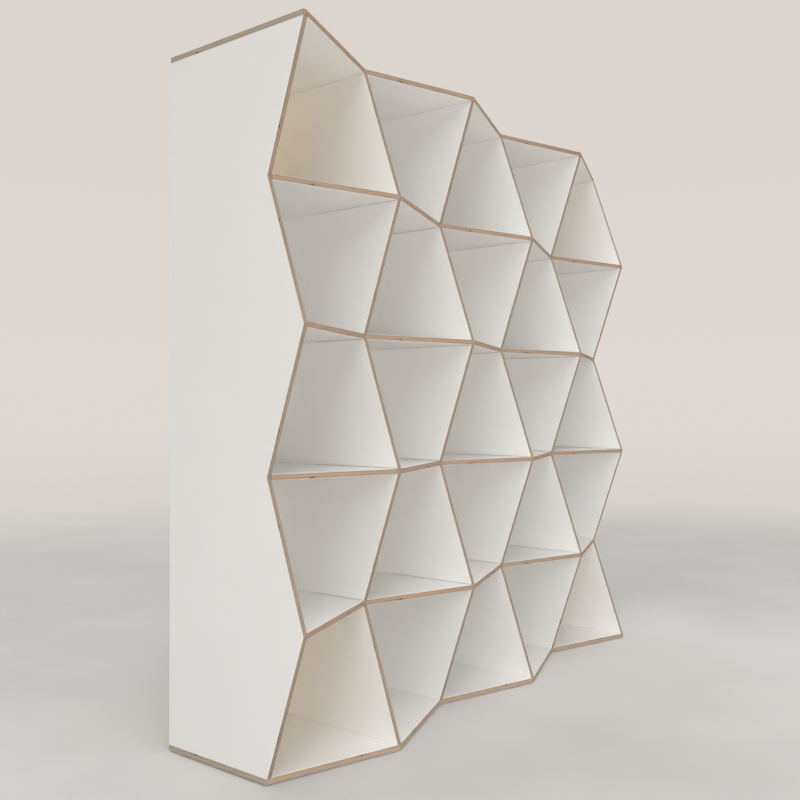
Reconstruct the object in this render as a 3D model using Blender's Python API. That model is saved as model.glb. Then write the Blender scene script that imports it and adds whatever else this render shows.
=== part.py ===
# A free-standing bookcase: laminated plywood boards crossing in a square grid of open cells.
# Alternate crossings of the grid stand forward, so every board has a zigzag front edge.
# Metres, +Z up, the front towards -Y, the floor at Z = 0 and the middle of the box at X = Y = 0.

import bpy
import bmesh
from math import radians, tau
from mathutils import Vector

# The grid: its cells, and the distance between the middles of neighbouring boards
ROWS = 5
COLUMNS = 5
ROW_PITCH = 0.330
COLUMN_PITCH = 0.3285

# Boards: 12 mm birch plywood with 0.8 mm of white laminate on both faces
BOARD = 0.0136
# From the set-back crossings to the back edge, and how far the others stand in front of them
DEPTH = 0.330
ZIGZAG = 0.110
# Gap between pieces that touch
CLEARANCE = 0.0003

# Half-lap crossings, and the stopped housings in the two sides that take the shelf ends
LAP_FROM_BACK = 0.160
HOUSING_DEPTH = 0.004
HOUSING_STOP = 0.014

# Back panels: held in a groove round the carcass and butted behind the shelves and dividers
BACK_PANEL = 0.006
BACK_INSET = 0.010
GROOVE_DEPTH = 0.005

# Beech dowels between the top board and the uprights; the cover is the wood left above them
DOWEL_DIAMETER = 0.006
DOWEL_LENGTH = 0.028
DOWEL_COVER = 0.0045
DOWEL_CHAMFER = 0.0008
DOWEL_FRONT_INSET = 0.065
DOWEL_BACK_INSET = 0.080

# Countersunk screws up through the bottom board: the bite is their way into the uprights,
# and the drive is the recess in the head
SCREW_DIAMETER = 0.004
SCREW_BITE = 0.028
SCREW_TIP = 0.005
SCREW_HEAD = 0.0078
SCREW_HEAD_HEIGHT = 0.0024
SCREW_SUNK = 0.0005
SCREW_DRIVE = 0.003
SCREW_DRIVE_DEPTH = 0.0012
SCREW_FRONT_INSET = 0.075
SCREW_BACK_INSET = 0.070

# Nylon glides, pressed into the bottom board; the cover is the wood left above their pins
GLIDE_DIAMETER = 0.018
GLIDE_HEIGHT = 0.003
GLIDE_CHAMFER = 0.001
GLIDE_PIN_DIAMETER = 0.005
GLIDE_PIN_COVER = 0.0045
GLIDE_FRONT_INSET = 0.035
GLIDE_BACK_INSET = 0.030
GLIDE_SIDE_INSET = 0.003

# A blind hole ends this far past the pin that it holds
HOLE_END = 0.0005

ROUND_SIDES = 12
SMOOTH_ANGLE = radians(30)
MERGE_DISTANCE = 1e-6

# Places worked out from the sizes above
WIDTH = COLUMNS * COLUMN_PITCH
INNER_END = (WIDTH - BOARD) / 2
OUTER_END = (WIDTH + BOARD) / 2
GRID_BASE = GLIDE_HEIGHT + CLEARANCE + BOARD / 2
GRID_HEIGHT = ROWS * ROW_PITCH
BACK = (DEPTH + ZIGZAG) / 2
FRONT = BACK - DEPTH
PANEL_BACK = BACK - BACK_INSET
PANEL_FRONT = PANEL_BACK - BACK_PANEL
INNER_BACK = PANEL_FRONT - CLEARANCE
LAP = INNER_BACK - LAP_FROM_BACK
SLOT = BOARD + 2 * CLEARANCE
UPRIGHT_FOOT = BOARD / 2 + CLEARANCE
UPRIGHT_HEAD = GRID_HEIGHT - UPRIGHT_FOOT
SCREW_LENGTH = BOARD - SCREW_SUNK + CLEARANCE + SCREW_BITE
GLIDE_PIN = CLEARANCE + BOARD - GLIDE_PIN_COVER
DOWEL_TOP = GRID_HEIGHT + BOARD / 2 - DOWEL_COVER


# Shared helpers

def make_material(name, color, roughness, metallic=0.0):
    material = bpy.data.materials.new(name)
    material.use_nodes = True
    shader = material.node_tree.nodes["Principled BSDF"]
    shader.inputs["Base Color"].default_value = (*color, 1.0)
    shader.inputs["Roughness"].default_value = roughness
    shader.inputs["Metallic"].default_value = metallic
    material.diffuse_color = (*color, 1.0)
    return material


def mesh_from(bm, name):
    bmesh.ops.recalc_face_normals(bm, faces=bm.faces)
    mesh = bpy.data.meshes.new(name)
    bm.to_mesh(mesh)
    bm.free()
    return mesh


def plate_mesh(name, outline, thickness):
    # A flat outline, thickened by half of the thickness vector to each side.
    bm = bmesh.new()
    face = bm.faces.new([bm.verts.new(Vector(point) - thickness / 2) for point in outline])
    extruded = bmesh.ops.extrude_face_region(bm, geom=[face])["geom"]
    corners = [item for item in extruded if isinstance(item, bmesh.types.BMVert)]
    bmesh.ops.translate(bm, verts=corners, vec=thickness)
    return mesh_from(bm, name)


def add_box(bm, x_span, y_span, z_span):
    spans = [sorted(span) for span in (x_span, y_span, z_span)]
    corners = bmesh.ops.create_cube(bm, size=1.0)["verts"]
    bmesh.ops.scale(bm, verts=corners, vec=[high - low for low, high in spans])
    bmesh.ops.translate(bm, verts=corners, vec=[(low + high) / 2 for low, high in spans])


def add_turned(bm, profile, place=(0, 0, 0)):
    # A round body: (radius, height) points from the axis and back to it, spun about an upright.
    first = len(bm.verts)
    place = Vector(place)
    points = [bm.verts.new(place + Vector((radius, 0, height))) for radius, height in profile]
    edges = [bm.edges.new(pair) for pair in zip(points, points[1:])]
    bmesh.ops.spin(bm, geom=points + edges, cent=place, axis=(0, 0, 1), angle=tau,
                   steps=ROUND_SIDES, use_merge=True)
    bm.verts.ensure_lookup_table()
    bmesh.ops.remove_doubles(bm, verts=bm.verts[first:], dist=MERGE_DISTANCE)


def add_bore(bm, place, diameter, low, high):
    radius = diameter / 2 + CLEARANCE
    add_turned(bm, [(0, low), (radius, low), (radius, high), (0, high)], place)


def smooth_round(mesh):
    mesh.shade_smooth()
    mesh.set_sharp_from_angle(angle=SMOOTH_ANGLE)
    return mesh


def add_part(name, mesh, location, parent, material):
    if not mesh.materials:
        mesh.materials.append(material)
    part = bpy.data.objects.new(name, mesh)
    bpy.context.collection.objects.link(part)
    part.location = location
    part.parent = parent
    return part


def cut_away(part, bm):
    # Takes the cutter's bodies out of the part, and keeps the result as the part's mesh.
    cutter = bpy.data.objects.new(part.name + "_cutter", mesh_from(bm, part.name + "_cutter"))
    bpy.context.collection.objects.link(cutter)
    cutter.location = part.location
    cutter.hide_render = True
    cutter.display_type = "WIRE"
    cut = part.modifiers.new("cut", "BOOLEAN")
    cut.operation = "DIFFERENCE"
    cut.solver = "EXACT"
    cut.object = cutter
    bpy.context.view_layer.update()
    graph = bpy.context.evaluated_depsgraph_get()
    part.data = bpy.data.meshes.new_from_object(part.evaluated_get(graph))
    part.modifiers.remove(cut)
    bpy.data.objects.remove(cutter)


# The grid: columns count from the left side, rows from the bottom board

def line_x(column):
    return column * COLUMN_PITCH - WIDTH / 2


def line_z(row):
    return GRID_BASE + row * ROW_PITCH


def crossing_front(line, crossing):
    # Alternate crossings stand forward by the zigzag.
    return FRONT - ZIGZAG if (line + crossing) % 2 else FRONT


def edge_front(line, distance, pitch, cells):
    # A board's front edge at a distance from its first crossing: straight between crossings.
    cell = min(max(int(distance // pitch), 0), cells - 1)
    start = crossing_front(line, cell)
    end = crossing_front(line, cell + 1)
    return start + (end - start) * (distance / pitch - cell)


def upright_front(column, height):
    return edge_front(column, height, ROW_PITCH, ROWS)


def level_front(row, x):
    return edge_front(row, x + WIDTH / 2, COLUMN_PITCH, COLUMNS)


def shelf_stop(row, x):
    # A shelf's tongue starts this far back, so that its housing doesn't show at the front.
    return level_front(row, x) + HOUSING_STOP


# Fasteners and glides stand in twos on each upright's line, near the front and near the back

def dowel_places(column):
    return crossing_front(column, ROWS) + DOWEL_FRONT_INSET, BACK - DOWEL_BACK_INSET


def screw_places(column):
    return crossing_front(column, 0) + SCREW_FRONT_INSET, BACK - SCREW_BACK_INSET


def glide_places(column):
    return crossing_front(column, 0) + GLIDE_FRONT_INSET, BACK - GLIDE_BACK_INSET


def glide_x(column):
    # The outer glides stand inside the ends of the bottom board.
    reach = OUTER_END - GLIDE_SIDE_INSET - GLIDE_DIAMETER / 2
    return min(max(line_x(column), -reach), reach)


# Top and bottom boards: they run over the ends of all the uprights

def add_end_board(name, row, inward, parent, material):
    outline = [(-OUTER_END, crossing_front(row, 0), 0)]
    outline += [(line_x(column), crossing_front(row, column), 0) for column in range(COLUMNS + 1)]
    outline += [(OUTER_END, crossing_front(row, COLUMNS), 0)]
    outline += [(OUTER_END, BACK, 0), (-OUTER_END, BACK, 0)]
    mesh = plate_mesh(name, outline, Vector((0, 0, BOARD)))
    board = add_part(name, mesh, (0, 0, line_z(row)), parent, material)
    cutter = bmesh.new()
    groove_end = INNER_END + GROOVE_DEPTH
    add_box(cutter, (-groove_end, groove_end), (INNER_BACK, PANEL_BACK + CLEARANCE),
            (inward * (BOARD / 2 - GROOVE_DEPTH), inward * BOARD))
    return board, cutter


def add_top_board(parent, material):
    board, cutter = add_end_board("top_board", ROWS, -1, parent, material)
    hole_top = BOARD / 2 - DOWEL_COVER + HOLE_END
    for column in range(COLUMNS + 1):
        for y in dowel_places(column):
            add_bore(cutter, (line_x(column), y, 0), DOWEL_DIAMETER, -BOARD, hole_top)
    cut_away(board, cutter)


def add_bottom_board(parent, material):
    board, cutter = add_end_board("bottom_board", 0, 1, parent, material)
    head_face = SCREW_SUNK - BOARD / 2
    head_radius = SCREW_HEAD / 2 + CLEARANCE
    bore_radius = SCREW_DIAMETER / 2 + CLEARANCE
    countersink = [(0, -BOARD), (head_radius, -BOARD), (head_radius, head_face),
                   (bore_radius, head_face + SCREW_HEAD_HEIGHT), (bore_radius, BOARD), (0, BOARD)]
    pin_hole_top = BOARD / 2 - GLIDE_PIN_COVER + HOLE_END
    for column in range(COLUMNS + 1):
        for y in screw_places(column):
            add_turned(cutter, countersink, (line_x(column), y, 0))
        for y in glide_places(column):
            add_bore(cutter, (glide_x(column), y, 0), GLIDE_PIN_DIAMETER, -BOARD, pin_hole_top)
    cut_away(board, cutter)


# Uprights: two sides and the dividers, with their heights counted from the bottom board's middle

def end_holes(column):
    # Dowel holes in the head of an upright and screw holes in its foot.
    cutter = bmesh.new()
    for y in dowel_places(column):
        add_bore(cutter, (0, y, 0), DOWEL_DIAMETER, DOWEL_TOP - DOWEL_LENGTH - HOLE_END, GRID_HEIGHT)
    for y in screw_places(column):
        add_bore(cutter, (0, y, 0), SCREW_DIAMETER, 0, UPRIGHT_FOOT + SCREW_BITE + HOLE_END)
    return cutter


def add_side(name, column, inward, parent, material):
    outline = [(0, upright_front(column, UPRIGHT_FOOT), UPRIGHT_FOOT)]
    outline += [(0, crossing_front(column, row), row * ROW_PITCH) for row in range(1, ROWS)]
    outline += [(0, upright_front(column, UPRIGHT_HEAD), UPRIGHT_HEAD)]
    outline += [(0, BACK, UPRIGHT_HEAD), (0, BACK, UPRIGHT_FOOT)]
    mesh = plate_mesh(name, outline, Vector((BOARD, 0, 0)))
    side = add_part(name, mesh, (line_x(column), 0, GRID_BASE), parent, material)
    cutter = end_holes(column)
    add_box(cutter, (inward * (BOARD / 2 - GROOVE_DEPTH), inward * BOARD),
            (INNER_BACK, PANEL_BACK + CLEARANCE), (0, GRID_HEIGHT))
    cut_away(side, cutter)
    housings = bmesh.new()
    for row in range(1, ROWS):
        stop = shelf_stop(row, -inward * INNER_END) - CLEARANCE
        add_box(housings, (inward * (BOARD / 2 - HOUSING_DEPTH), inward * BOARD),
                (stop, PANEL_FRONT + BACK_PANEL / 2),
                (row * ROW_PITCH - SLOT / 2, row * ROW_PITCH + SLOT / 2))
    cut_away(side, housings)


def add_divider(column, parent, material):
    # A divider's slots are open at the front, where the shelves pass through whole.
    slot_end = LAP + CLEARANCE / 2
    outline = [(0, upright_front(column, UPRIGHT_FOOT), UPRIGHT_FOOT)]
    for row in range(1, ROWS):
        low = row * ROW_PITCH - SLOT / 2
        high = row * ROW_PITCH + SLOT / 2
        outline += [(0, upright_front(column, low), low), (0, slot_end, low)]
        outline += [(0, slot_end, high), (0, upright_front(column, high), high)]
    outline += [(0, upright_front(column, UPRIGHT_HEAD), UPRIGHT_HEAD)]
    outline += [(0, INNER_BACK, UPRIGHT_HEAD), (0, INNER_BACK, UPRIGHT_FOOT)]
    name = f"divider_{column}"
    mesh = plate_mesh(name, outline, Vector((BOARD, 0, 0)))
    divider = add_part(name, mesh, (line_x(column), 0, GRID_BASE), parent, material)
    cut_away(divider, end_holes(column))


# Shelves: their slots are open at the back, so that each front edge runs unbroken

def add_shelf(row, parent, material):
    shoulder = INNER_END - CLEARANCE
    tongue = shoulder + HOUSING_DEPTH
    slot_end = LAP - CLEARANCE / 2
    left_stop = shelf_stop(row, -INNER_END)
    right_stop = shelf_stop(row, INNER_END)
    outline = [(-tongue, left_stop, 0), (-shoulder, left_stop, 0)]
    outline += [(-shoulder, level_front(row, -shoulder), 0)]
    outline += [(line_x(column), crossing_front(row, column), 0) for column in range(1, COLUMNS)]
    outline += [(shoulder, level_front(row, shoulder), 0)]
    outline += [(shoulder, right_stop, 0), (tongue, right_stop, 0), (tongue, INNER_BACK, 0)]
    for column in reversed(range(1, COLUMNS)):
        left = line_x(column) - SLOT / 2
        right = line_x(column) + SLOT / 2
        outline += [(right, INNER_BACK, 0), (right, slot_end, 0)]
        outline += [(left, slot_end, 0), (left, INNER_BACK, 0)]
    outline += [(-tongue, INNER_BACK, 0)]
    name = f"shelf_{row}"
    mesh = plate_mesh(name, outline, Vector((0, 0, BOARD)))
    add_part(name, mesh, (0, 0, line_z(row)), parent, material)


# Back panels: each corner cell has its own, and the others span the cells between them

def add_back_panel(name, row, first, last, parent, material):
    # The outer edges stand in the grooves; the seams lie behind the shelves and dividers.
    seam = CLEARANCE / 2
    level_edge = BOARD / 2 - GROOVE_DEPTH + CLEARANCE
    side_edge = INNER_END + GROOVE_DEPTH - CLEARANCE
    low = line_z(row) + (level_edge if row == 0 else seam)
    high = line_z(row + 1) - (level_edge if row == ROWS - 1 else seam)
    left = -side_edge if first == 0 else line_x(first) + seam
    right = side_edge if last == COLUMNS else line_x(last) - seam
    half_width = (right - left) / 2
    half_height = (high - low) / 2
    outline = [(-half_width, 0, -half_height), (half_width, 0, -half_height),
               (half_width, 0, half_height), (-half_width, 0, half_height)]
    mesh = plate_mesh(name, outline, Vector((0, BACK_PANEL, 0)))
    middle = ((left + right) / 2, (PANEL_FRONT + PANEL_BACK) / 2, (low + high) / 2)
    add_part(name, mesh, middle, parent, material)


def add_back(parent, white, birch):
    for row in range(ROWS):
        if row in (0, ROWS - 1):
            level = "bottom" if row == 0 else "top"
            add_back_panel(f"back_{level}_left", row, 0, 1, parent, birch)
            add_back_panel(f"back_{level}_middle", row, 1, COLUMNS - 1, parent, white)
            add_back_panel(f"back_{level}_right", row, COLUMNS - 1, COLUMNS, parent, birch)
        else:
            add_back_panel(f"back_row_{row + 1}", row, 0, COLUMNS, parent, white)


# Fasteners and glides: each kind shares one mesh

def dowel_mesh():
    radius = DOWEL_DIAMETER / 2
    bm = bmesh.new()
    add_turned(bm, [(0, -DOWEL_LENGTH), (radius - DOWEL_CHAMFER, -DOWEL_LENGTH),
                    (radius, DOWEL_CHAMFER - DOWEL_LENGTH), (radius, -DOWEL_CHAMFER),
                    (radius - DOWEL_CHAMFER, 0), (0, 0)])
    return smooth_round(mesh_from(bm, "dowel"))


def screw_mesh():
    # Head down, with the sunk face of the head at the origin.
    bm = bmesh.new()
    add_turned(bm, [(0, SCREW_DRIVE_DEPTH), (SCREW_DRIVE / 2, SCREW_DRIVE_DEPTH),
                    (SCREW_DRIVE / 2, 0), (SCREW_HEAD / 2, 0),
                    (SCREW_DIAMETER / 2, SCREW_HEAD_HEIGHT),
                    (SCREW_DIAMETER / 2, SCREW_LENGTH - SCREW_TIP), (0, SCREW_LENGTH)])
    return smooth_round(mesh_from(bm, "screw"))


def glide_mesh():
    # A disc on the floor with a pin above it.
    radius = GLIDE_DIAMETER / 2
    pin = GLIDE_PIN_DIAMETER / 2
    bm = bmesh.new()
    add_turned(bm, [(0, 0), (radius - GLIDE_CHAMFER, 0), (radius, GLIDE_CHAMFER),
                    (radius, GLIDE_HEIGHT), (pin, GLIDE_HEIGHT), (pin, GLIDE_HEIGHT + GLIDE_PIN),
                    (0, GLIDE_HEIGHT + GLIDE_PIN)])
    return smooth_round(mesh_from(bm, "glide"))


def add_fittings(parent, beech, steel, nylon):
    dowel = dowel_mesh()
    screw = screw_mesh()
    glide = glide_mesh()
    head_face = GRID_BASE - BOARD / 2 + SCREW_SUNK
    for column in range(COLUMNS + 1):
        x = line_x(column)
        number = column + 1
        for end, y in zip(("front", "back"), dowel_places(column)):
            add_part(f"dowel_{number}_{end}", dowel, (x, y, GRID_BASE + DOWEL_TOP), parent, beech)
        for end, y in zip(("front", "back"), screw_places(column)):
            add_part(f"screw_{number}_{end}", screw, (x, y, head_face), parent, steel)
        for end, y in zip(("front", "back"), glide_places(column)):
            add_part(f"glide_{number}_{end}", glide, (glide_x(column), y, 0), parent, nylon)


def build_bookcase():
    for item in list(bpy.data.objects):
        bpy.data.objects.remove(item)
    white = make_material("white_laminate", (0.72, 0.71, 0.68), 0.55)
    backing = make_material("white_backing", (0.70, 0.69, 0.66), 0.6)
    birch = make_material("birch_plywood", (0.68, 0.52, 0.33), 0.5)
    beech = make_material("beech", (0.62, 0.44, 0.27), 0.7)
    steel = make_material("zinc_plated_steel", (0.55, 0.55, 0.56), 0.35, 1.0)
    nylon = make_material("nylon", (0.72, 0.72, 0.69), 0.5)
    bookcase = bpy.data.objects.new("bookcase", None)
    bpy.context.collection.objects.link(bookcase)
    add_top_board(bookcase, white)
    add_bottom_board(bookcase, white)
    add_side("left_side", 0, 1, bookcase, white)
    add_side("right_side", COLUMNS, -1, bookcase, white)
    for column in range(1, COLUMNS):
        add_divider(column, bookcase, white)
    for row in range(1, ROWS):
        add_shelf(row, bookcase, white)
    add_back(bookcase, backing, birch)
    add_fittings(bookcase, beech, steel, nylon)


build_bookcase()
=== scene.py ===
# The looks of a free-standing bookcase: white laminated birch plywood boards in a grid with a
# zigzag front. Metres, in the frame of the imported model: +Z up, the open front towards -Y.

from math import atan2, cos, radians, tau

import bpy
import bmesh
from mathutils import Matrix, Vector


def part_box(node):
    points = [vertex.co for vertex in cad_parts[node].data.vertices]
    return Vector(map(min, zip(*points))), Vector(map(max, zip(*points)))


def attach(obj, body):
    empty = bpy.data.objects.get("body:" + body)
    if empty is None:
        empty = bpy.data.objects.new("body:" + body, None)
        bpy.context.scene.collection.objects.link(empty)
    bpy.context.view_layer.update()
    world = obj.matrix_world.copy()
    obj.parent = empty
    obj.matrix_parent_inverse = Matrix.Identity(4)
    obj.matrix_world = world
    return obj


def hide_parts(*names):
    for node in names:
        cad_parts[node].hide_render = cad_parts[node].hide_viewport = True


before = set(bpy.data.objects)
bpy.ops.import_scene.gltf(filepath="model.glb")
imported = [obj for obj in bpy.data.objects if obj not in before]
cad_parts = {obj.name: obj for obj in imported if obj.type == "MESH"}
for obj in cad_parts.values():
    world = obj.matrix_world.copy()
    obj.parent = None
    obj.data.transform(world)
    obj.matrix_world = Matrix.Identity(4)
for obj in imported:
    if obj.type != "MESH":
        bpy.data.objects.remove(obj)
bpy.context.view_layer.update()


# Node helpers

def addNode(tree, kind, inputs=None, **settings):
    made = tree.nodes.new(kind)
    for key, value in settings.items():
        setattr(made, key, value)
    for key, value in (inputs or {}).items():
        if isinstance(value, bpy.types.NodeSocket):
            tree.links.new(value, made.inputs[key])
        else:
            made.inputs[key].default_value = value
    return made


def calc(tree, operation, first, second=0.0):
    return addNode(tree, "ShaderNodeMath", {0: first, 1: second}, operation=operation).outputs[0]


def apart(tree, first, second):
    return calc(tree, "ABSOLUTE", calc(tree, "SUBTRACT", first, second))


def swing(tree, value, width):
    # turns 0 to 1 into a swing of this width round zero
    return calc(tree, "MULTIPLY", calc(tree, "SUBTRACT", value, 0.5), width)


def addUp(tree, *parts):
    total = parts[0]
    for part in parts[1:]:
        total = calc(tree, "ADD", total, part)
    return total


def mixColors(tree, share, first, second):
    # sockets 6 and 7 are the two colours of a Mix node
    return addNode(tree, "ShaderNodeMix", {0: share, 6: first, 7: second}, data_type="RGBA").outputs[2]


def mixFloats(tree, share, first, second):
    return addNode(tree, "ShaderNodeMix", {0: share, 2: first, 3: second}, data_type="FLOAT").outputs[0]


def fillRamp(node, stops):
    ramp = node.color_ramp
    while len(ramp.elements) < len(stops):
        ramp.elements.new(0.5)
    for element, (place, color) in zip(ramp.elements, stops):
        element.position = place
        element.color = (*color, 1)


def fade(tree, value, low, high, lowOut=0.0, highOut=1.0):
    inputs = {"Value": value, "From Min": low, "From Max": high, "To Min": lowOut, "To Max": highOut}
    return addNode(tree, "ShaderNodeMapRange", inputs, interpolation_type="SMOOTHSTEP").outputs[0]


def noise(tree, vector, scale, detail=2.0, roughness=0.5, distortion=0.0):
    inputs = {"Vector": vector, "Scale": scale, "Detail": detail, "Roughness": roughness,
              "Distortion": distortion}
    return addNode(tree, "ShaderNodeTexNoise", inputs).outputs["Fac"]


def stretch(tree, vector, scale):
    return addNode(tree, "ShaderNodeMapping", {"Vector": vector, "Scale": scale}).outputs[0]


def combine(tree, *parts):
    return addNode(tree, "ShaderNodeCombineXYZ", dict(enumerate(parts))).outputs[0]


def separate(tree, vector):
    return addNode(tree, "ShaderNodeSeparateXYZ", {0: vector}).outputs


def objectPlace(tree):
    return addNode(tree, "ShaderNodeTexCoord").outputs["Object"]


def newGroup(name, inputs, outputs):
    tree = bpy.data.node_groups.new(name, "ShaderNodeTree")
    for label, kind, value in inputs:
        made = tree.interface.new_socket(label, in_out="INPUT", socket_type="NodeSocket" + kind)
        if value is not None:
            made.default_value = value
    for label, kind in outputs:
        tree.interface.new_socket(label, in_out="OUTPUT", socket_type="NodeSocket" + kind)
    return tree, addNode(tree, "NodeGroupInput").outputs, addNode(tree, "NodeGroupOutput").inputs


def placeGroup(tree, group, inputs):
    return addNode(tree, "ShaderNodeGroup", inputs, node_tree=group).outputs


def newMaterial(name):
    material = bpy.data.materials.new(name)
    material.use_nodes = True
    return material, material.node_tree, material.node_tree.nodes["Principled BSDF"]


def connect(tree, shader, color, roughness, height, depth):
    # depth is how far the height stands out, in metres
    bump = addNode(tree, "ShaderNodeBump", {"Strength": 1.0, "Distance": depth, "Height": height})
    tree.links.new(color, shader.inputs["Base Color"])
    tree.links.new(roughness, shader.inputs["Roughness"])
    tree.links.new(bump.outputs[0], shader.inputs["Normal"])


# Shared effects

satin = {
    "cloudShare": 0.7,      # how much of the second tone shows where it is strongest
    "smudges": 0.05,        # added to the roughness by hand marks
    "glint": 0.05,          # how far the roughness swings with the stipple
}


def makeSatinGroup():
    # a smooth pressed or moulded surface: fine stipple, faint cloudy tone and hand marks
    tree, given, out = newGroup(
        "satinSurface",
        [("Vector", "Vector", None), ("Color", "Color", None), ("Cloud", "Color", None),
         ("Roughness", "Float", 0.5), ("Stipple", "Float", 1400.0)],
        [("Color", "Color"), ("Roughness", "Float"), ("Height", "Float")])
    clouds = noise(tree, given["Vector"], 2.4, detail=3.0, roughness=0.55)
    marks = noise(tree, given["Vector"], 17.0, detail=4.0, roughness=0.6, distortion=0.4)
    stipple = noise(tree, given["Vector"], given["Stipple"], detail=1.0)
    cloudy = fade(tree, clouds, 0.32, 0.7, highOut=satin["cloudShare"])
    smudged = fade(tree, marks, 0.5, 0.72, highOut=satin["smudges"])
    rough = addUp(tree, given["Roughness"], smudged, swing(tree, stipple, satin["glint"]))
    tree.links.new(mixColors(tree, cloudy, given["Color"], given["Cloud"]), out["Color"])
    tree.links.new(rough, out["Roughness"])
    tree.links.new(stipple, out["Height"])
    return tree


plywood = {
    # how dark each ply is, from the lower or left face of a board
    "shades": [0.1, 0.65, 0.3, 0.15, 0.25, 0.05, 0.2, 0.6, 0.15],
    "sway": 0.035,          # how far the plies wander, as a share of the thickness
    "turnedShade": 0.2,     # how much darker the plies are that show their end grain
    "blotches": 0.5,
    "glue": 0.75,           # how much of the glue's colour shows in the joints between plies
    # shares of the relief: the grain stands out, and the glue and the turned plies lie deeper
    "grainRelief": 0.5,
    "glueRelief": 0.5,
    "turnedRelief": 0.3,
}


def makePlyGroup():
    # the edge of plywood: Along in metres, Across from -0.5 to 0.5 through the plies
    tree, given, out = newGroup(
        "plyEdge",
        [("Along", "Float", 0.0), ("Across", "Float", 0.0), ("Plies", "Float", 9.0),
         ("Depth", "Float", 0.012), ("Pale", "Color", None), ("Dark", "Color", None),
         ("Grey", "Color", None), ("Glue", "Color", None), ("Core", "Color", None)],
        [("Color", "Color"), ("Roughness", "Float"), ("Height", "Float")])
    along = given["Along"]
    wave = noise(tree, combine(tree, along), 4.0)
    across = calc(tree, "ADD", given["Across"], swing(tree, wave, plywood["sway"]))
    through = calc(tree, "ADD", across, 0.5)
    level = calc(tree, "MULTIPLY", through, given["Plies"])
    ply = calc(tree, "FLOOR", level)
    inPly = calc(tree, "FRACT", level)
    turned = calc(tree, "PINGPONG", ply, 1.0)  # 1 on the plies whose grain runs front to back
    metres = calc(tree, "MULTIPLY", across, given["Depth"])
    spot = combine(tree, along, metres, ply)
    streaks = noise(tree, stretch(tree, spot, (14.0, 2600.0, 3.1)), 1.0, detail=3.0, roughness=0.6)
    pores = noise(tree, stretch(tree, spot, (1500.0, 1500.0, 3.1)), 1.0, roughness=0.6)
    patches = noise(tree, stretch(tree, spot, (9.0, 1.0, 7.7)), 1.0)
    grain = mixFloats(tree, turned, streaks, pores)
    ownTone = addNode(tree, "ShaderNodeValToRGB", {0: through})
    ownTone.color_ramp.interpolation = "CONSTANT"
    shades = plywood["shades"]
    fillRamp(ownTone, [(step / len(shades), (shade, shade, shade)) for step, shade in enumerate(shades)])
    tone = addUp(tree, calc(tree, "MULTIPLY", turned, plywood["turnedShade"]), ownTone.outputs[0],
                 fade(tree, patches, 0.3, 0.7, -0.2, 0.2), fade(tree, grain, 0.25, 0.75, -0.2, 0.22))
    tone = calc(tree, "MINIMUM", calc(tree, "MAXIMUM", tone, 0.0), 1.0)
    color = mixColors(tree, tone, given["Pale"], given["Dark"])
    blotches = noise(tree, combine(tree, along, 3.0), 11.0)
    blotches = fade(tree, blotches, 0.38, 0.62, highOut=plywood["blotches"])
    color = mixColors(tree, blotches, color, given["Grey"])
    glue = fade(tree, apart(tree, inPly, 0.5), 0.40, 0.47, highOut=plywood["glue"])
    color = mixColors(tree, glue, color, given["Glue"])
    # past the outer plies comes the laminate's brown core
    isCore = calc(tree, "GREATER_THAN", calc(tree, "ABSOLUTE", given["Across"]), 0.5)
    color = mixColors(tree, isCore, color, given["Core"])
    tree.links.new(color, out["Color"])
    tree.links.new(fade(tree, grain, 0.2, 0.8, 0.6, 0.75), out["Roughness"])
    raised = calc(tree, "MULTIPLY", grain, plywood["grainRelief"])
    sunk = calc(tree, "MULTIPLY", glue, plywood["glueRelief"])
    turnedSunk = calc(tree, "MULTIPLY", turned, plywood["turnedRelief"])
    height = calc(tree, "SUBTRACT", calc(tree, "SUBTRACT", raised, sunk), turnedSunk)
    tree.links.new(height, out["Height"])
    return tree


wood = {
    "bend": 16.0,           # by how many rings the figure wanders
    # how much of the dark tone each of these brings
    "rings": 0.45,
    "fibre": 0.35,
    "flecks": 0.2,
}


def makeGrainGroup():
    # flat-cut wood: long soft figure with fine pores; the grain runs along the vector's Z
    tree, given, out = newGroup(
        "flatGrain",
        [("Vector", "Vector", None), ("Pale", "Color", None), ("Dark", "Color", None),
         ("Width", "Float", 0.018)],
        [("Color", "Color"), ("Roughness", "Float"), ("Height", "Float")])
    bend = noise(tree, stretch(tree, given["Vector"], (3.0, 3.0, 0.9)), 1.0, detail=3.0, roughness=0.55)
    reach = separate(tree, given["Vector"])[0]
    rings = calc(tree, "ADD", calc(tree, "DIVIDE", reach, given["Width"]),
                 calc(tree, "MULTIPLY", bend, wood["bend"]))
    ring = calc(tree, "PINGPONG", rings, 1.0)
    fine = stretch(tree, given["Vector"], (900.0, 900.0, 16.0))
    fibre = noise(tree, fine, 1.0, detail=3.0, roughness=0.6)
    flecks = noise(tree, stretch(tree, given["Vector"], (420.0, 420.0, 60.0)), 1.0, detail=1.0)
    tone = addUp(tree, fade(tree, ring, 0.2, 1.0, highOut=wood["rings"]),
                 fade(tree, fibre, 0.3, 0.75, highOut=wood["fibre"]),
                 fade(tree, flecks, 0.62, 0.72, highOut=wood["flecks"]))
    tree.links.new(mixColors(tree, tone, given["Pale"], given["Dark"]), out["Color"])
    tree.links.new(fade(tree, fibre, 0.2, 0.8, 0.4, 0.56), out["Roughness"])
    tree.links.new(calc(tree, "MULTIPLY", tone, -1.0), out["Height"])
    return tree


# The grid's lines, from the boards' own boxes

def middleOf(node, axis):
    low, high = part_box(node)
    return (low[axis] + high[axis]) / 2


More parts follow.
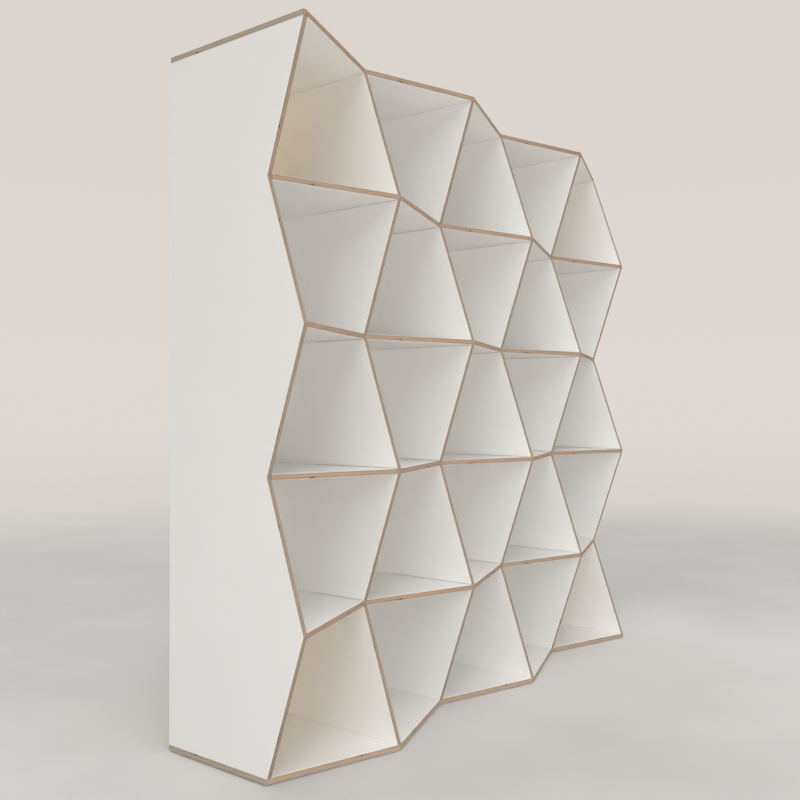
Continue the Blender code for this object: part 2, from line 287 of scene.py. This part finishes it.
rows = 5
columns = 5
gridLeft = middleOf("left_side", 0)
gridBase = middleOf("bottom_board", 2)
columnPitch = (middleOf("right_side", 0) - gridLeft) / columns
rowPitch = (middleOf("top_board", 2) - gridBase) / rows
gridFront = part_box("left_side")[0].y
crossing = {
    "zigzag": 0.110,        # from the crossings that stand forward to those that stand back
    "within": 0.0065,       # half the joint, across the board that passes
    "beyond": 0.0076,       # the same with the film of the board that stops there
    "deep": 0.0027,         # how far behind the crossing the film is sanded away
    "outer": 0.0185,        # in cells: how far past the outermost lines it still holds
    "color": (0.33, 0.245, 0.175, 1),
}


def makeCrossingGroup():
    # 1 at the front of each crossing, where the film is sanded away and ply meets ply
    tree, given, out = newGroup("crossing", [("Vector", "Vector", None)], [("Mask", "Float")])
    x, y, z = separate(tree, given["Vector"])
    column = calc(tree, "DIVIDE", calc(tree, "SUBTRACT", x, gridLeft), columnPitch)
    row = calc(tree, "DIVIDE", calc(tree, "SUBTRACT", z, gridBase), rowPitch)
    nearColumn = calc(tree, "ROUND", column)
    nearRow = calc(tree, "ROUND", row)
    sideways = calc(tree, "MULTIPLY", apart(tree, column, nearColumn), columnPitch)
    upwards = calc(tree, "MULTIPLY", apart(tree, row, nearRow), rowPitch)
    isForward = calc(tree, "PINGPONG", calc(tree, "ADD", nearColumn, nearRow), 1.0)
    setBack = calc(tree, "MULTIPLY", calc(tree, "SUBTRACT", 1.0, isForward), crossing["zigzag"])
    behind = calc(tree, "SUBTRACT", calc(tree, "SUBTRACT", y, gridFront), setBack)
    less = calc(tree, "MINIMUM", sideways, upwards)
    more = calc(tree, "MAXIMUM", sideways, upwards)
    mask = calc(tree, "MULTIPLY", calc(tree, "LESS_THAN", less, crossing["within"]),
                calc(tree, "LESS_THAN", more, crossing["beyond"]))
    mask = calc(tree, "MULTIPLY", mask, calc(tree, "LESS_THAN", behind, crossing["deep"]))
    # the outer faces keep their film
    for place, count in ((column, columns), (row, rows)):
        reach = count / 2 + crossing["outer"]
        isInside = calc(tree, "LESS_THAN", apart(tree, place, count / 2), reach)
        mask = calc(tree, "MULTIPLY", mask, isInside)
    tree.links.new(mask, out["Mask"])
    return tree


satinGroup = makeSatinGroup()
plyGroup = makePlyGroup()
grainGroup = makeGrainGroup()
crossingGroup = makeCrossingGroup()

# Finishes

# relief is how far the finest bumps stand out, in metres
satinFinishes = {
    "whiteLaminate": {"Color": (0.88, 0.862, 0.836, 1), "Cloud": (0.862, 0.845, 0.818, 1),
                      "Roughness": 0.48, "Stipple": 1400.0, "relief": 0.00002},
    "whiteBacking": {"Color": (0.71, 0.69, 0.655, 1), "Cloud": (0.69, 0.67, 0.635, 1),
                     "Roughness": 0.55, "Stipple": 700.0, "relief": 0.00004},
    "nylon": {"Color": (0.78, 0.78, 0.74, 1), "Cloud": (0.72, 0.72, 0.68, 1),
              "Roughness": 0.45, "Stipple": 2200.0, "relief": 0.00003},
}
woodFinishes = {
    "birchVeneer": {"Pale": (0.97, 0.78, 0.47, 1), "Dark": (0.90, 0.67, 0.34, 1), "Width": 0.035,
                    "relief": 0.00005},
    "beech": {"Pale": (0.66, 0.46, 0.28, 1), "Dark": (0.46, 0.28, 0.15, 1), "Width": 0.0015,
              "relief": 0.00006},
}
plyTones = {"Pale": (0.49, 0.36, 0.25), "Dark": (0.255, 0.17, 0.105), "Grey": (0.34, 0.27, 0.205),
            "Glue": (0.12, 0.08, 0.055), "Core": (0.26, 0.18, 0.12)}
# the plywood on the shelves, the uprights and the bottom board, and where long boards are cut across:
# one plywood in lit and shaded copies, with painted shade on the uprights' edges and painted light on
# the bottom board's edges and on the cut ends
plyLightAndShade = {
    "birchPlyEdge": (1, 1, 1),
    "birchPlyUprightShaded": (0.89, 0.93, 0.97),
    "birchPlyBaseLit": (1.14, 1.15, 1.15),
    "birchPlyEndLit": (1.22, 1.36, 1.5),
}
plyRelief = 0.00012
backPanel = {
    "thickness": 0.006,
    "plies": 5.0,
    "relief": 0.00008,
    "arris": 0.0003,
    "arrisSegments": 1,
    "skin": 0.0004,         # the face veneer or film, which the panel's edge finish leaves out
}
plySpecular = 0.15      # dull, for raw sanded ends of fibres
knots = {
    "along": 0.31,      # share of a facet's length, from the crossing that stands back
    "across": -0.31,    # share of the ply's thickness, from its middle
    "length": 0.008,
    "height": 0.3,      # share of the thickness
    "darkness": 0.92,
    "voidLength": 0.044,
    "voidHeight": 0.15,
    "voidDarkness": 0.4,
    "color": (0.035, 0.02, 0.012, 1),
}
cellSize = 0.330        # metres for each unit of the edge map's first coordinate


def edgePlace(tree):
    # the edge map: cells along the board, and shares of the plywood's thickness across it
    cells, across, _ = separate(tree, addNode(tree, "ShaderNodeUVMap", uv_map="edge").outputs[0])
    return cells, across


def makeSatin(name, bareCrossings=False):
    finish = satinFinishes[name]
    material, tree, shader = newMaterial(name)
    place = objectPlace(tree)
    made = placeGroup(tree, satinGroup, {
        "Vector": place, "Color": finish["Color"], "Cloud": finish["Cloud"],
        "Roughness": finish["Roughness"], "Stipple": finish["Stipple"]})
    color = made["Color"]
    if bareCrossings:
        bare = placeGroup(tree, crossingGroup, {"Vector": place})["Mask"]
        color = mixColors(tree, bare, color, crossing["color"])
    connect(tree, shader, color, made["Roughness"], made["Height"], finish["relief"])
    return material


def makeWood(name):
    finish = woodFinishes[name]
    material, tree, shader = newMaterial(name)
    made = placeGroup(tree, grainGroup, {"Vector": objectPlace(tree), "Pale": finish["Pale"],
                                         "Dark": finish["Dark"], "Width": finish["Width"]})
    connect(tree, shader, made["Color"], made["Roughness"], made["Height"], finish["relief"])
    return material


def tinted(tint):
    return {name: (*(level * share for level, share in zip(tone, tint)), 1)
            for name, tone in plyTones.items()}


def ovalSpot(tree, along, across, length, height):
    # 1 on the rim of an oval of this length and height, and less inside it
    return calc(tree, "ADD", calc(tree, "POWER", calc(tree, "DIVIDE", along, length / 2), 2.0),
                calc(tree, "POWER", calc(tree, "DIVIDE", across, height / 2), 2.0))


def makePlyEdge(name):
    material, tree, shader = newMaterial(name)
    shader.inputs["Specular IOR Level"].default_value = plySpecular
    cells, across = edgePlace(tree)
    along = calc(tree, "MULTIPLY", cells, cellSize)
    made = placeGroup(tree, plyGroup, {"Along": along, "Across": across, **tinted(plyLightAndShade[name])})
    # one pin knot on each facet, with the dark void that runs out along its ply
    fromKnot = calc(tree, "SUBTRACT", calc(tree, "PINGPONG", cells, 1.0), knots["along"])
    fromKnot = calc(tree, "MULTIPLY", fromKnot, cellSize)
    rise = calc(tree, "SUBTRACT", across, knots["across"])
    knot = ovalSpot(tree, fromKnot, rise, knots["length"], knots["height"])
    void = ovalSpot(tree, fromKnot, rise, knots["voidLength"], knots["voidHeight"])
    dark = calc(tree, "MAXIMUM", fade(tree, knot, 0.5, 1.3, knots["darkness"], 0.0),
                fade(tree, void, 0.4, 1.2, knots["voidDarkness"], 0.0))
    color = mixColors(tree, dark, made["Color"], knots["color"])
    height = calc(tree, "SUBTRACT", made["Height"], dark)
    connect(tree, shader, color, made["Roughness"], height, plyRelief)
    return material


def makePanelEdge():
    material, tree, shader = newMaterial("panelPlyEdge")
    cells, across = edgePlace(tree)
    made = placeGroup(tree, plyGroup, {
        "Along": calc(tree, "MULTIPLY", cells, cellSize), "Across": across,
        "Plies": backPanel["plies"], "Depth": backPanel["thickness"], **tinted((1, 1, 1))})
    connect(tree, shader, made["Color"], made["Roughness"], made["Height"], backPanel["relief"])
    return material


zincPlate = {
    "blue": (0.60, 0.61, 0.62, 1),
    "yellow": (0.72, 0.71, 0.66, 1),
    "shiny": 0.24,          # roughness of the two kinds of spangle
    "dull": 0.4,
    "relief": 0.00001,
}


def makeZinc():
    material, tree, shader = newMaterial("zincPlate")
    shader.inputs["Metallic"].default_value = 1.0
    spangle = noise(tree, objectPlace(tree), 900.0)
    color = mixColors(tree, fade(tree, spangle, 0.35, 0.65), zincPlate["blue"], zincPlate["yellow"])
    rough = fade(tree, spangle, 0.3, 0.7, zincPlate["shiny"], zincPlate["dull"])
    connect(tree, shader, color, rough, spangle, zincPlate["relief"])
    return material


laminate = makeSatin("whiteLaminate", bareCrossings=True)
# the last three are the same plywood, tinted as painted shade or painted light
plyEdge, plyUprightShaded, plyBaseLit, plyEndLit = (makePlyEdge(name) for name in plyLightAndShade)
backing = makeSatin("whiteBacking")
birchVeneer = makeWood("birchVeneer")
panelEdge = makePanelEdge()
beech = makeWood("beech")
zinc = makeZinc()
nylon = makeSatin("nylon")
print("finishes:", len(bpy.data.materials), "materials")


# Pieces

def pieceName(node):
    first, *rest = node.split("_")
    return first + "".join(word.capitalize() for word in rest)


def addPiece(bm, node, materials):
    # a finished mesh that stands for one CAD node
    mesh = bpy.data.meshes.new(pieceName(node))
    bm.to_mesh(mesh)
    bm.free()
    for material in materials:
        mesh.materials.append(material)
    piece = bpy.data.objects.new(pieceName(node), mesh)
    bpy.context.scene.collection.objects.link(piece)
    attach(piece, "root")
    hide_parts(node)
    return piece


board = {
    "laminate": 0.0008,     # each of the two faces
    "white": 0.0005,        # the laminate's white film; under it is the brown core
    "arris": 0.00035,       # sanded off every outer corner
    "arrisSegments": 2,
    "shortestEdge": 0.008,  # the rims of holes are shorter and stay sharp
    "sharpest": 40,         # degrees: edges that turn less than this aren't corners
    "edgeMapStep": 2,       # cells by which each board's plies are shifted, an even number
    "endStart": -0.104,     # where the edge map starts on the ends of the long boards
    "slotEase": 0.0003,     # taken off each wall of the slots
    "slotEaseOver": 0.0006,     # the same for walls that stand on a shelf
    "slotLip": 0.012,       # over this first stretch of a slot the walls slope to that
    "slotFronts": 0.121,    # slots that open at the front edge start nearer the grid's front
    "slotWall": 0.0005,     # square metres: the walls of slots are larger, the ends of holes smaller
}
mergeWithin = 0.00001
cutWithin = 0.0000001
margin = 0.001          # nearer to an end than this belongs to the end
facing = 0.9            # a normal's share along an axis, from which a face counts as facing it


def mergedCopy(node):
    # the CAD node's shape as clean faces
    bm = bmesh.new()
    bm.from_mesh(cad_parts[node].data)
    bmesh.ops.remove_doubles(bm, verts=bm.verts, dist=mergeWithin)
    bmesh.ops.dissolve_limit(bm, angle_limit=radians(0.5), verts=bm.verts, edges=bm.edges)
    return bm


def softenEdges(bm, width, segments, covered=None):
    # sands the outer corners, but not the ends that another board covers, which face along
    # the covered axis
    sharp = [edge for edge in bm.edges
             if len(edge.link_faces) == 2 and edge.calc_length() > board["shortestEdge"]
             and edge.calc_face_angle_signed() > radians(board["sharpest"])]
    if covered is not None:
        sharp = [edge for edge in sharp if abs((edge.verts[0].co - edge.verts[1].co).y) > margin
                 or max(abs(face.normal[covered]) for face in edge.link_faces) < facing]
    bmesh.ops.bevel(bm, geom=sharp, offset=width, offset_type="OFFSET", affect="EDGES",
                    segments=segments, profile=0.5, material=-1)


def findWalls(bm, run, low, high):
    return [face for face in bm.faces
            if low[run] + margin < face.calc_center_median()[run] < high[run] - margin
            and abs(face.normal[run]) > facing and face.calc_area() > board["slotWall"]]


def widenSlots(bm, run, low, high):
    # sets the walls of the slots back along the board, so that the seams there show; the first
    # part of a wall that starts at the front edge slopes from the joint's own gap
    for face in findWalls(bm, run, low, high):
        front = min(vert.co.y for vert in face.verts)
        if front < gridFront + board["slotFronts"]:
            bmesh.ops.bisect_plane(bm, geom=[face, *face.edges, *face.verts], dist=cutWithin,
                                   plane_co=(0, front + board["slotLip"], 0), plane_no=(0, 1, 0))
    for face in findWalls(bm, run, low, high):
        ease = board["slotEaseOver"] if face.normal.z < -facing else board["slotEase"]
        bmesh.ops.translate(bm, verts=face.verts, vec=-face.normal * ease)


def sliceAt(bm, axis, place):
    normal = Vector((0, 0, 0))
    normal[axis] = 1
    bmesh.ops.bisect_plane(bm, geom=bm.verts[:] + bm.edges[:] + bm.faces[:], dist=cutWithin,
                           plane_co=normal * place, plane_no=normal)


def mapEdges(bm, axis, middle, reach, plies, startY=0, shift=0, flip=1):
    # second material on every bare edge, up to reach from the middle, and the edge map
    layer = bm.loops.layers.uv.new("edge")
    others = [i for i in range(3) if i != axis]
    origin = Vector((gridLeft, startY, gridBase))
    cell = Vector((columnPitch, cellSize, rowPitch))
    for face in bm.faces:
        isWithin = abs(face.calc_center_median()[axis] - middle) < reach
        face.material_index = 1 if isWithin and abs(face.normal[axis]) < 0.5 else 0
        run = min(others, key=lambda i: abs(face.normal[i]))
        for loop in face.loops:
            place = loop.vert.co
            along = (place[run] - origin[run]) / cell[run] + shift
            loop[layer].uv = (along, flip * (place[axis] - middle) / (2 * plies))


def dressBoard(node, axis, line, number, flip=1):
    # line counts the board's place in the grid: even ones start at a crossing that stands back
    bm = mergedCopy(node)
    low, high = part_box(node)
    widenSlots(bm, 2 - axis, low, high)
    covered = None if node in ("top_board", "bottom_board") else 2 - axis
    softenEdges(bm, board["arris"], board["arrisSegments"], covered)
    middle = (low[axis] + high[axis]) / 2
    half = (high[axis] - low[axis]) / 2
    sliceAt(bm, axis, middle - half + board["white"])
    sliceAt(bm, axis, middle + half - board["white"])
    shift = line % 2 + (1 if flip < 0 else 0) + number * board["edgeMapStep"]
    mapEdges(bm, axis, middle, half - board["white"], half - board["laminate"],
             board["endStart"], shift, flip)
    if axis == 0:
        # the uprights' edges: the plywood with painted shade
        addPiece(bm, node, [laminate, plyUprightShaded])
        return
    # the cut ends: the plywood painted lighter and greyer, as painted light from the left
    for face in bm.faces:
        if face.material_index == 1 and abs(face.normal.x) > facing:
            face.material_index = 2
    # the bottom board's edges: the plywood with painted light, as from the floor
    front = plyBaseLit if node == "bottom_board" else plyEdge
    addPiece(bm, node, [laminate, front, plyEndLit])


dressBoard("left_side", 0, 0, 1)
dressBoard("right_side", 0, columns, 2)
dressBoard("bottom_board", 2, 0, 3, flip=-1)
dressBoard("top_board", 2, rows, 4)
for line in range(1, rows):
    dressBoard(f"shelf_{line}", 2, line, 4 + line)
for line in range(1, columns):
    dressBoard(f"divider_{line}", 0, line, 8 + line)
print("boards: dressed")


def dressPanel(node, materials):
    bm = mergedCopy(node)
    softenEdges(bm, backPanel["arris"], backPanel["arrisSegments"])
    low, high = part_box(node)
    middle = (low.y + high.y) / 2
    half = (high.y - low.y) / 2 - backPanel["skin"]
    sliceAt(bm, 1, middle - half)
    sliceAt(bm, 1, middle + half)
    mapEdges(bm, 1, middle, half, half)
    addPiece(bm, node, materials)


for level in ("bottom", "top"):
    for side in ("left", "right"):
        dressPanel(f"back_{level}_{side}", [birchVeneer, panelEdge])
    dressPanel(f"back_{level}_middle", [backing, panelEdge])
for line in range(2, rows):
    dressPanel(f"back_row_{line}", [backing, panelEdge])
print("back: dressed")


# Small parts: each starts as a capped circle and is raised step by step

def startDisc(radius, sides):
    bm = bmesh.new()
    bmesh.ops.create_circle(bm, cap_ends=True, radius=radius, segments=sides)
    bm.faces.ensure_lookup_table()
    return bm, bm.faces[0]


def raiseFace(bm, face, lift, widen=1.0):
    # the first face stays as the piece's foot, and later ones give way to the new face
    isInner = len(face.edges[0].link_faces) > 1
    made = bmesh.ops.extrude_face_region(bm, geom=[face])["geom"]
    if isInner:
        bmesh.ops.delete(bm, geom=[face], context="FACES_ONLY")
    corners = [item for item in made if isinstance(item, bmesh.types.BMVert)]
    bmesh.ops.translate(bm, verts=corners, vec=(0, 0, lift))
    bmesh.ops.scale(bm, verts=corners, vec=(widen, widen, 1))
    return next(item for item in made if isinstance(item, bmesh.types.BMFace))


def lowestFace(bm):
    return min(bm.faces, key=lambda face: (round(face.calc_center_median().z, 6), -face.calc_area()))


def placeSmall(bm, node, material):
    low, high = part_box(node)
    bmesh.ops.recalc_face_normals(bm, faces=bm.faces)
    place = Vector(((low.x + high.x) / 2, (low.y + high.y) / 2, low.z))
    bmesh.ops.translate(bm, verts=bm.verts, vec=place)
    piece = addPiece(bm, node, [material])
    piece.data.shade_smooth()
    piece.data.set_sharp_from_angle(angle=radians(35))


dowel = {
    "flutes": 16,
    "sidesPerFlute": 3,
    # shares of the radius: at the flutes' bottoms, at the chamfered ends and at the crests
    "fluteRadius": 0.92,
    "endRadius": 0.74,
    "crestRadius": 0.998,
    "chamfer": 0.0008,
}


def makeDowel(node):
    low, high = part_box(node)
    length = high.z - low.z
    sides = dowel["flutes"] * dowel["sidesPerFlute"]
    bm, face = startDisc((high.x - low.x) / 2 * dowel["endRadius"], sides)
    for number, corner in enumerate(face.verts):
        if number % dowel["sidesPerFlute"] == 0:
            corner.co.xy *= dowel["fluteRadius"]
    face = raiseFace(bm, face, dowel["chamfer"], dowel["crestRadius"] / dowel["endRadius"])
    face = raiseFace(bm, face, length - 2 * dowel["chamfer"])
    raiseFace(bm, face, dowel["chamfer"], dowel["endRadius"])
    placeSmall(bm, node, beech)


screw = {
    "sides": 36,
    "core": 0.0030,         # diameter at the root of the thread
    "shank": 0.0036,
    "shankLength": 0.010,   # plain part, from under the head
    "headHeight": 0.0024,
    "headRim": 0.0003,      # the head's straight lower edge
    "shankEnd": 0.0004,     # over this height the shank narrows to the thread's root
    "tip": 0.005,
    "tipWidth": 0.06,       # share of the core
    "threadRadius": 0.00199,
    "threadSunk": 0.0001,   # how far the ridge starts inside the core
    "threadHeight": 0.001,
    "threadPitch": 0.0018,
    "threadSteps": 16,      # in one turn
    "driveInset": 0.0022,
    "driveDepth": 0.0012,
    "driveTaper": 0.9,
    "lobes": 6,
    "lobeDepth": 0.16,
}


def makeScrew(node):
    low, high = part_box(node)
    length = high.z - low.z
    headRadius = (high.x - low.x) / 2
    shankTop = screw["headHeight"] + screw["shankLength"]
    threadTop = length - screw["tip"]
    bm, face = startDisc(headRadius, screw["sides"])
    face = raiseFace(bm, face, screw["headRim"])
    face = raiseFace(bm, face, screw["headHeight"] - screw["headRim"], screw["shank"] / 2 / headRadius)
    face = raiseFace(bm, face, screw["shankLength"])
    face = raiseFace(bm, face, screw["shankEnd"], screw["core"] / screw["shank"])
    face = raiseFace(bm, face, threadTop - shankTop - screw["shankEnd"])
    raiseFace(bm, face, screw["tip"], screw["tipWidth"])
    # the six-lobe drive, sunk into the head
    bm.faces.ensure_lookup_table()
    head = lowestFace(bm)
    bmesh.ops.inset_region(bm, faces=[head], thickness=screw["driveInset"])
    head = lowestFace(bm)
    for corner in head.verts:
        lobe = 1 + screw["lobeDepth"] * cos(screw["lobes"] * atan2(corner.co.y, corner.co.x))
        corner.co.xy *= lobe
    raiseFace(bm, head, screw["driveDepth"], screw["driveTaper"])
    # the thread, one closed ridge wound up the core
    inner = screw["core"] / 2 - screw["threadSunk"]
    outline = [(inner, 0, shankTop), (screw["threadRadius"], 0, shankTop + screw["threadHeight"] / 2),
               (inner, 0, shankTop + screw["threadHeight"])]
    corners = [bm.verts.new(corner) for corner in outline]
    ridge = bm.faces.new(corners)
    turns = (threadTop - shankTop - screw["threadHeight"]) / screw["threadPitch"]
    steps = int(turns * screw["threadSteps"])
    bmesh.ops.spin(bm, geom=[ridge] + list(ridge.edges) + corners, cent=(0, 0, 0), axis=(0, 0, 1),
                   dvec=(0, 0, screw["threadPitch"] / screw["threadSteps"]),
                   angle=tau * steps / screw["threadSteps"], steps=steps, use_merge=False)
    placeSmall(bm, node, zinc)


glide = {
    "sides": 48,
    "rim": 0.0008,          # rounding of the foot's lower edge
    "dish": 0.0003,         # the foot's middle is sunk this far
    "dishInset": 0.0025,
    "footHeight": 0.003,
    "pin": 0.005,
    "barbs": 3,
    "barbTaper": 0.86,
    "barbStep": 0.00005,    # the height over which the pin widens again for the next barb
}


def makeGlide(node):
    low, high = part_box(node)
    footRadius = (high.x - low.x) / 2
    pinHeight = high.z - low.z - glide["footHeight"]
    bm, face = startDisc(footRadius - glide["rim"], glide["sides"])
    # the rim turns up in three steps of a quarter circle
    reached = footRadius - glide["rim"]
    for step in (30, 60, 90):
        widen = footRadius - glide["rim"] * (1 - cos(radians(90 - step)))
        rise = glide["rim"] * (cos(radians(step - 30)) - cos(radians(step)))
        face = raiseFace(bm, face, rise, widen / reached)
        reached = widen
    face = raiseFace(bm, face, glide["footHeight"] - glide["rim"])
    bmesh.ops.inset_region(bm, faces=[face], thickness=footRadius - glide["pin"] / 2)
    barbHeight = pinHeight / glide["barbs"]
    for barb in range(glide["barbs"]):
        face = raiseFace(bm, face, barbHeight, glide["barbTaper"])
        if barb < glide["barbs"] - 1:
            face = raiseFace(bm, face, glide["barbStep"], 1 / glide["barbTaper"])
    foot = lowestFace(bm)
    bmesh.ops.inset_region(bm, faces=[foot], thickness=glide["dishInset"])
    foot = lowestFace(bm)
    bmesh.ops.translate(bm, verts=foot.verts, vec=(0, 0, glide["dish"]))
    placeSmall(bm, node, nylon)


for column in range(1, columns + 2):
    for end in ("front", "back"):
        makeDowel(f"dowel_{column}_{end}")
        makeScrew(f"screw_{column}_{end}")
        makeGlide(f"glide_{column}_{end}")
print("small parts: made")


# Floor, backdrop, lamps and camera

stage = {
    "floorRadius": 60.0,
    "floorSides": 128,
    "sunk": 0.0002,
    "midway": 3.0,          # the distance that comes halfway along the ramp of tones
    # distance from the bookcase's middle, and how the floor looks there
    "tones": [(0.0, (0.66, 0.635, 0.612)), (1.2, (0.678, 0.653, 0.633)), (2.2, (0.665, 0.635, 0.612)),
              (3.3, (0.67, 0.637, 0.613)), (4.5, (0.675, 0.642, 0.614)), (6.5, (0.682, 0.647, 0.619)),
              (10.0, (0.70, 0.664, 0.634)), (18.0, (0.712, 0.676, 0.64)), (50.0, (0.737, 0.687, 0.65))],
    # patches of painted shade and painted light on the floor, darker or lighter in full up to this share
    # of
    # their reach: the bookcase's painted shadow to the right, painted shade at the front left, a band of
    # painted light along the front that lightens the base's shadow, and painted shade beside the left
    # side
    "patches": [{"place": (3.3, 0.1, 0.0), "reach": (2.6, 2.6, 1.0), "full": 0.3, "level": 0.94},
                {"place": (-0.6, -0.8, 0.0), "reach": (1.45, 1.15, 1.0), "full": 0.22, "level": 0.87},
                {"place": (0.1, -0.15, 0.0), "reach": (2.2, 0.4, 1.0), "full": 0.1, "level": 1.08},
                {"place": (-0.93, -0.02, 0.0), "reach": (0.36, 0.42, 1.0), "full": 0.3, "level": 0.92}],
    "clouds": 0.04,         # how much darker and lighter the floor's soft clouds are
    "paintedFrom": 2.5,     # past these distances the floor is shown plainly, as the backdrop is
    "paintedTo": 6.0,
    # height of the line of sight, as the sine of its angle, and the backdrop's colour there
    "sky": [(0.0, (0.737, 0.687, 0.65)), (0.055, (0.752, 0.686, 0.651)), (0.24, (0.723, 0.665, 0.624)),
            (1.0, (0.715, 0.66, 0.62))],
}
world = {"level": 0.17, "color": (0.99, 1.0, 1.02)}
# turn is the bearing from the open front, towards the right; rise is the height above level
suns = {
    "leftWindow": {"turn": -65, "rise": 43, "spread": 60, "energy": 1.39, "color": (0.975, 1.0, 1.01)},
    "overhead": {"turn": 0, "rise": 88, "spread": 60, "energy": 1.17, "color": (1.0, 1.0, 1.0)},
}
softboxes = {
    "leftBox": {"turn": -25, "away": 3.5, "height": 0.75, "wide": 2.0, "tall": 0.8, "watts": 52,
                "color": (1.0, 0.998, 0.985)},
    "rightBox": {"turn": 25, "away": 3.5, "height": 0.6, "wide": 2.0, "tall": 0.8, "watts": 7,
                 "color": (1.0, 1.0, 1.0)},
}
camera = {"place": (-2.18321, -1.50503, 0.82082), "turn": 52.751, "tilt": 0.560, "lens": 39.747,
          "sensor": 36}


def nearness(tree, distance):
    # squeezes an endless distance into 0 to 1, for the ramp
    return calc(tree, "DIVIDE", distance, calc(tree, "ADD", distance, stage["midway"]))


def measure(tree, vector):
    return addNode(tree, "ShaderNodeVectorMath", {0: vector}, operation="LENGTH").outputs["Value"]


def dimmed(tree, color, level):
    inputs = {0: color, "Scale": level}
    return addNode(tree, "ShaderNodeVectorMath", inputs, operation="SCALE").outputs[0]


def seenDirectly(tree):
    light = addNode(tree, "ShaderNodeLightPath").outputs
    direct = calc(tree, "MAXIMUM", light["Is Camera Ray"], light["Is Glossy Ray"])
    return calc(tree, "MAXIMUM", direct, light["Is Transmission Ray"])


def mixShaders(tree, share, first, second, output):
    inputs = {0: share, 1: first.outputs[0], 2: second.outputs[0]}
    mixed = addNode(tree, "ShaderNodeMixShader", inputs)
    tree.links.new(mixed.outputs[0], tree.nodes[output].inputs["Surface"])


def makeFloor():
    bm = bmesh.new()
    bmesh.ops.create_circle(bm, cap_ends=True, radius=stage["floorRadius"],
                            segments=stage["floorSides"])
    bmesh.ops.translate(bm, verts=bm.verts, vec=(0, 0, -stage["sunk"]))
    mesh = bpy.data.meshes.new("studioFloor")
    bm.to_mesh(mesh)
    bm.free()
    floor = bpy.data.objects.new("studioFloor", mesh)
    bpy.context.scene.collection.objects.link(floor)
    material, tree, shader = newMaterial("studioFloor")
    mesh.materials.append(material)
    place = objectPlace(tree)
    distance = measure(tree, place)
    ramp = addNode(tree, "ShaderNodeValToRGB", {0: nearness(tree, distance)})
    fillRamp(ramp, [(reach / (reach + stage["midway"]), color) for reach, color in stage["tones"]])
    tones = ramp.outputs[0]
    # the patches lay painted shade and painted light on the floor's tones
    for patch in stage["patches"]:
        away = addNode(tree, "ShaderNodeMapping", {"Vector": place, "Location": patch["place"],
                                                   "Scale": patch["reach"]}, vector_type="TEXTURE")
        tones = dimmed(tree, tones, fade(tree, measure(tree, away.outputs[0]), patch["full"], 1.0,
                                         patch["level"], 1.0))
    clouds = noise(tree, place, 1.3, detail=4.0, roughness=0.55)
    clouds = fade(tree, clouds, 0.3, 0.7, 1 - stage["clouds"], 1 + stage["clouds"])
    tree.links.new(dimmed(tree, tones, clouds), shader.inputs["Base Color"])
    shader.inputs["Roughness"].default_value = 0.9
    shader.inputs["Specular IOR Level"].default_value = 0.0
    painted = addNode(tree, "ShaderNodeEmission", {"Color": tones})
    far = fade(tree, distance, stage["paintedFrom"], stage["paintedTo"])
    share = calc(tree, "MULTIPLY", far, seenDirectly(tree))
    mixShaders(tree, share, shader, painted, "Material Output")


def makeWorld():
    sky = bpy.data.worlds.new("studio")
    bpy.context.scene.world = sky
    sky.use_nodes = True
    tree = sky.node_tree
    light = tree.nodes["Background"]
    light.inputs["Color"].default_value = (*world["color"], 1)
    light.inputs["Strength"].default_value = world["level"]
    sight = addNode(tree, "ShaderNodeTexCoord").outputs["Generated"]
    ramp = addNode(tree, "ShaderNodeValToRGB", {0: separate(tree, sight)[2]})
    fillRamp(ramp, stage["sky"])
    backdrop = addNode(tree, "ShaderNodeBackground", {"Color": ramp.outputs[0]})
    mixShaders(tree, seenDirectly(tree), light, backdrop, "World Output")


def addLamp(name, light, power, color, turn, aim):
    light.energy = power
    light.color = color
    lamp = bpy.data.objects.new(name, light)
    bpy.context.scene.collection.objects.link(lamp)
    lamp.visible_camera = False
    lamp.matrix_world = Matrix.Rotation(radians(turn), 4, "Z") @ aim


def makeSun(name, sun):
    light = bpy.data.lights.new(name, "SUN")
    light.angle = radians(sun["spread"])
    aim = Matrix.Rotation(radians(90 - sun["rise"]), 4, "X")
    addLamp(name, light, sun["energy"], sun["color"], sun["turn"], aim)


def makeSoftbox(name, box):
    light = bpy.data.lights.new(name, "AREA")
    light.shape = "RECTANGLE"
    light.size = box["wide"]
    light.size_y = box["tall"]
    aim = Matrix.Translation((0, -box["away"], box["height"])) @ Matrix.Rotation(radians(90), 4, "X")
    addLamp(name, light, box["watts"], box["color"], box["turn"], aim)


def makeCamera():
    lens = bpy.data.cameras.new("camera")
    lens.sensor_width = camera["sensor"]
    lens.lens = camera["lens"]
    made = bpy.data.objects.new("camera", lens)
    bpy.context.scene.collection.objects.link(made)
    made.location = camera["place"]
    made.rotation_euler = (radians(90 + camera["tilt"]), 0, -radians(camera["turn"]))
    bpy.context.scene.camera = made


makeFloor()
makeWorld()
for name, sun in suns.items():
    makeSun(name, sun)
for name, box in softboxes.items():
    makeSoftbox(name, box)
makeCamera()
bpy.context.scene.view_settings.view_transform = "Standard"
print("studio: floor, backdrop, lamps and camera")
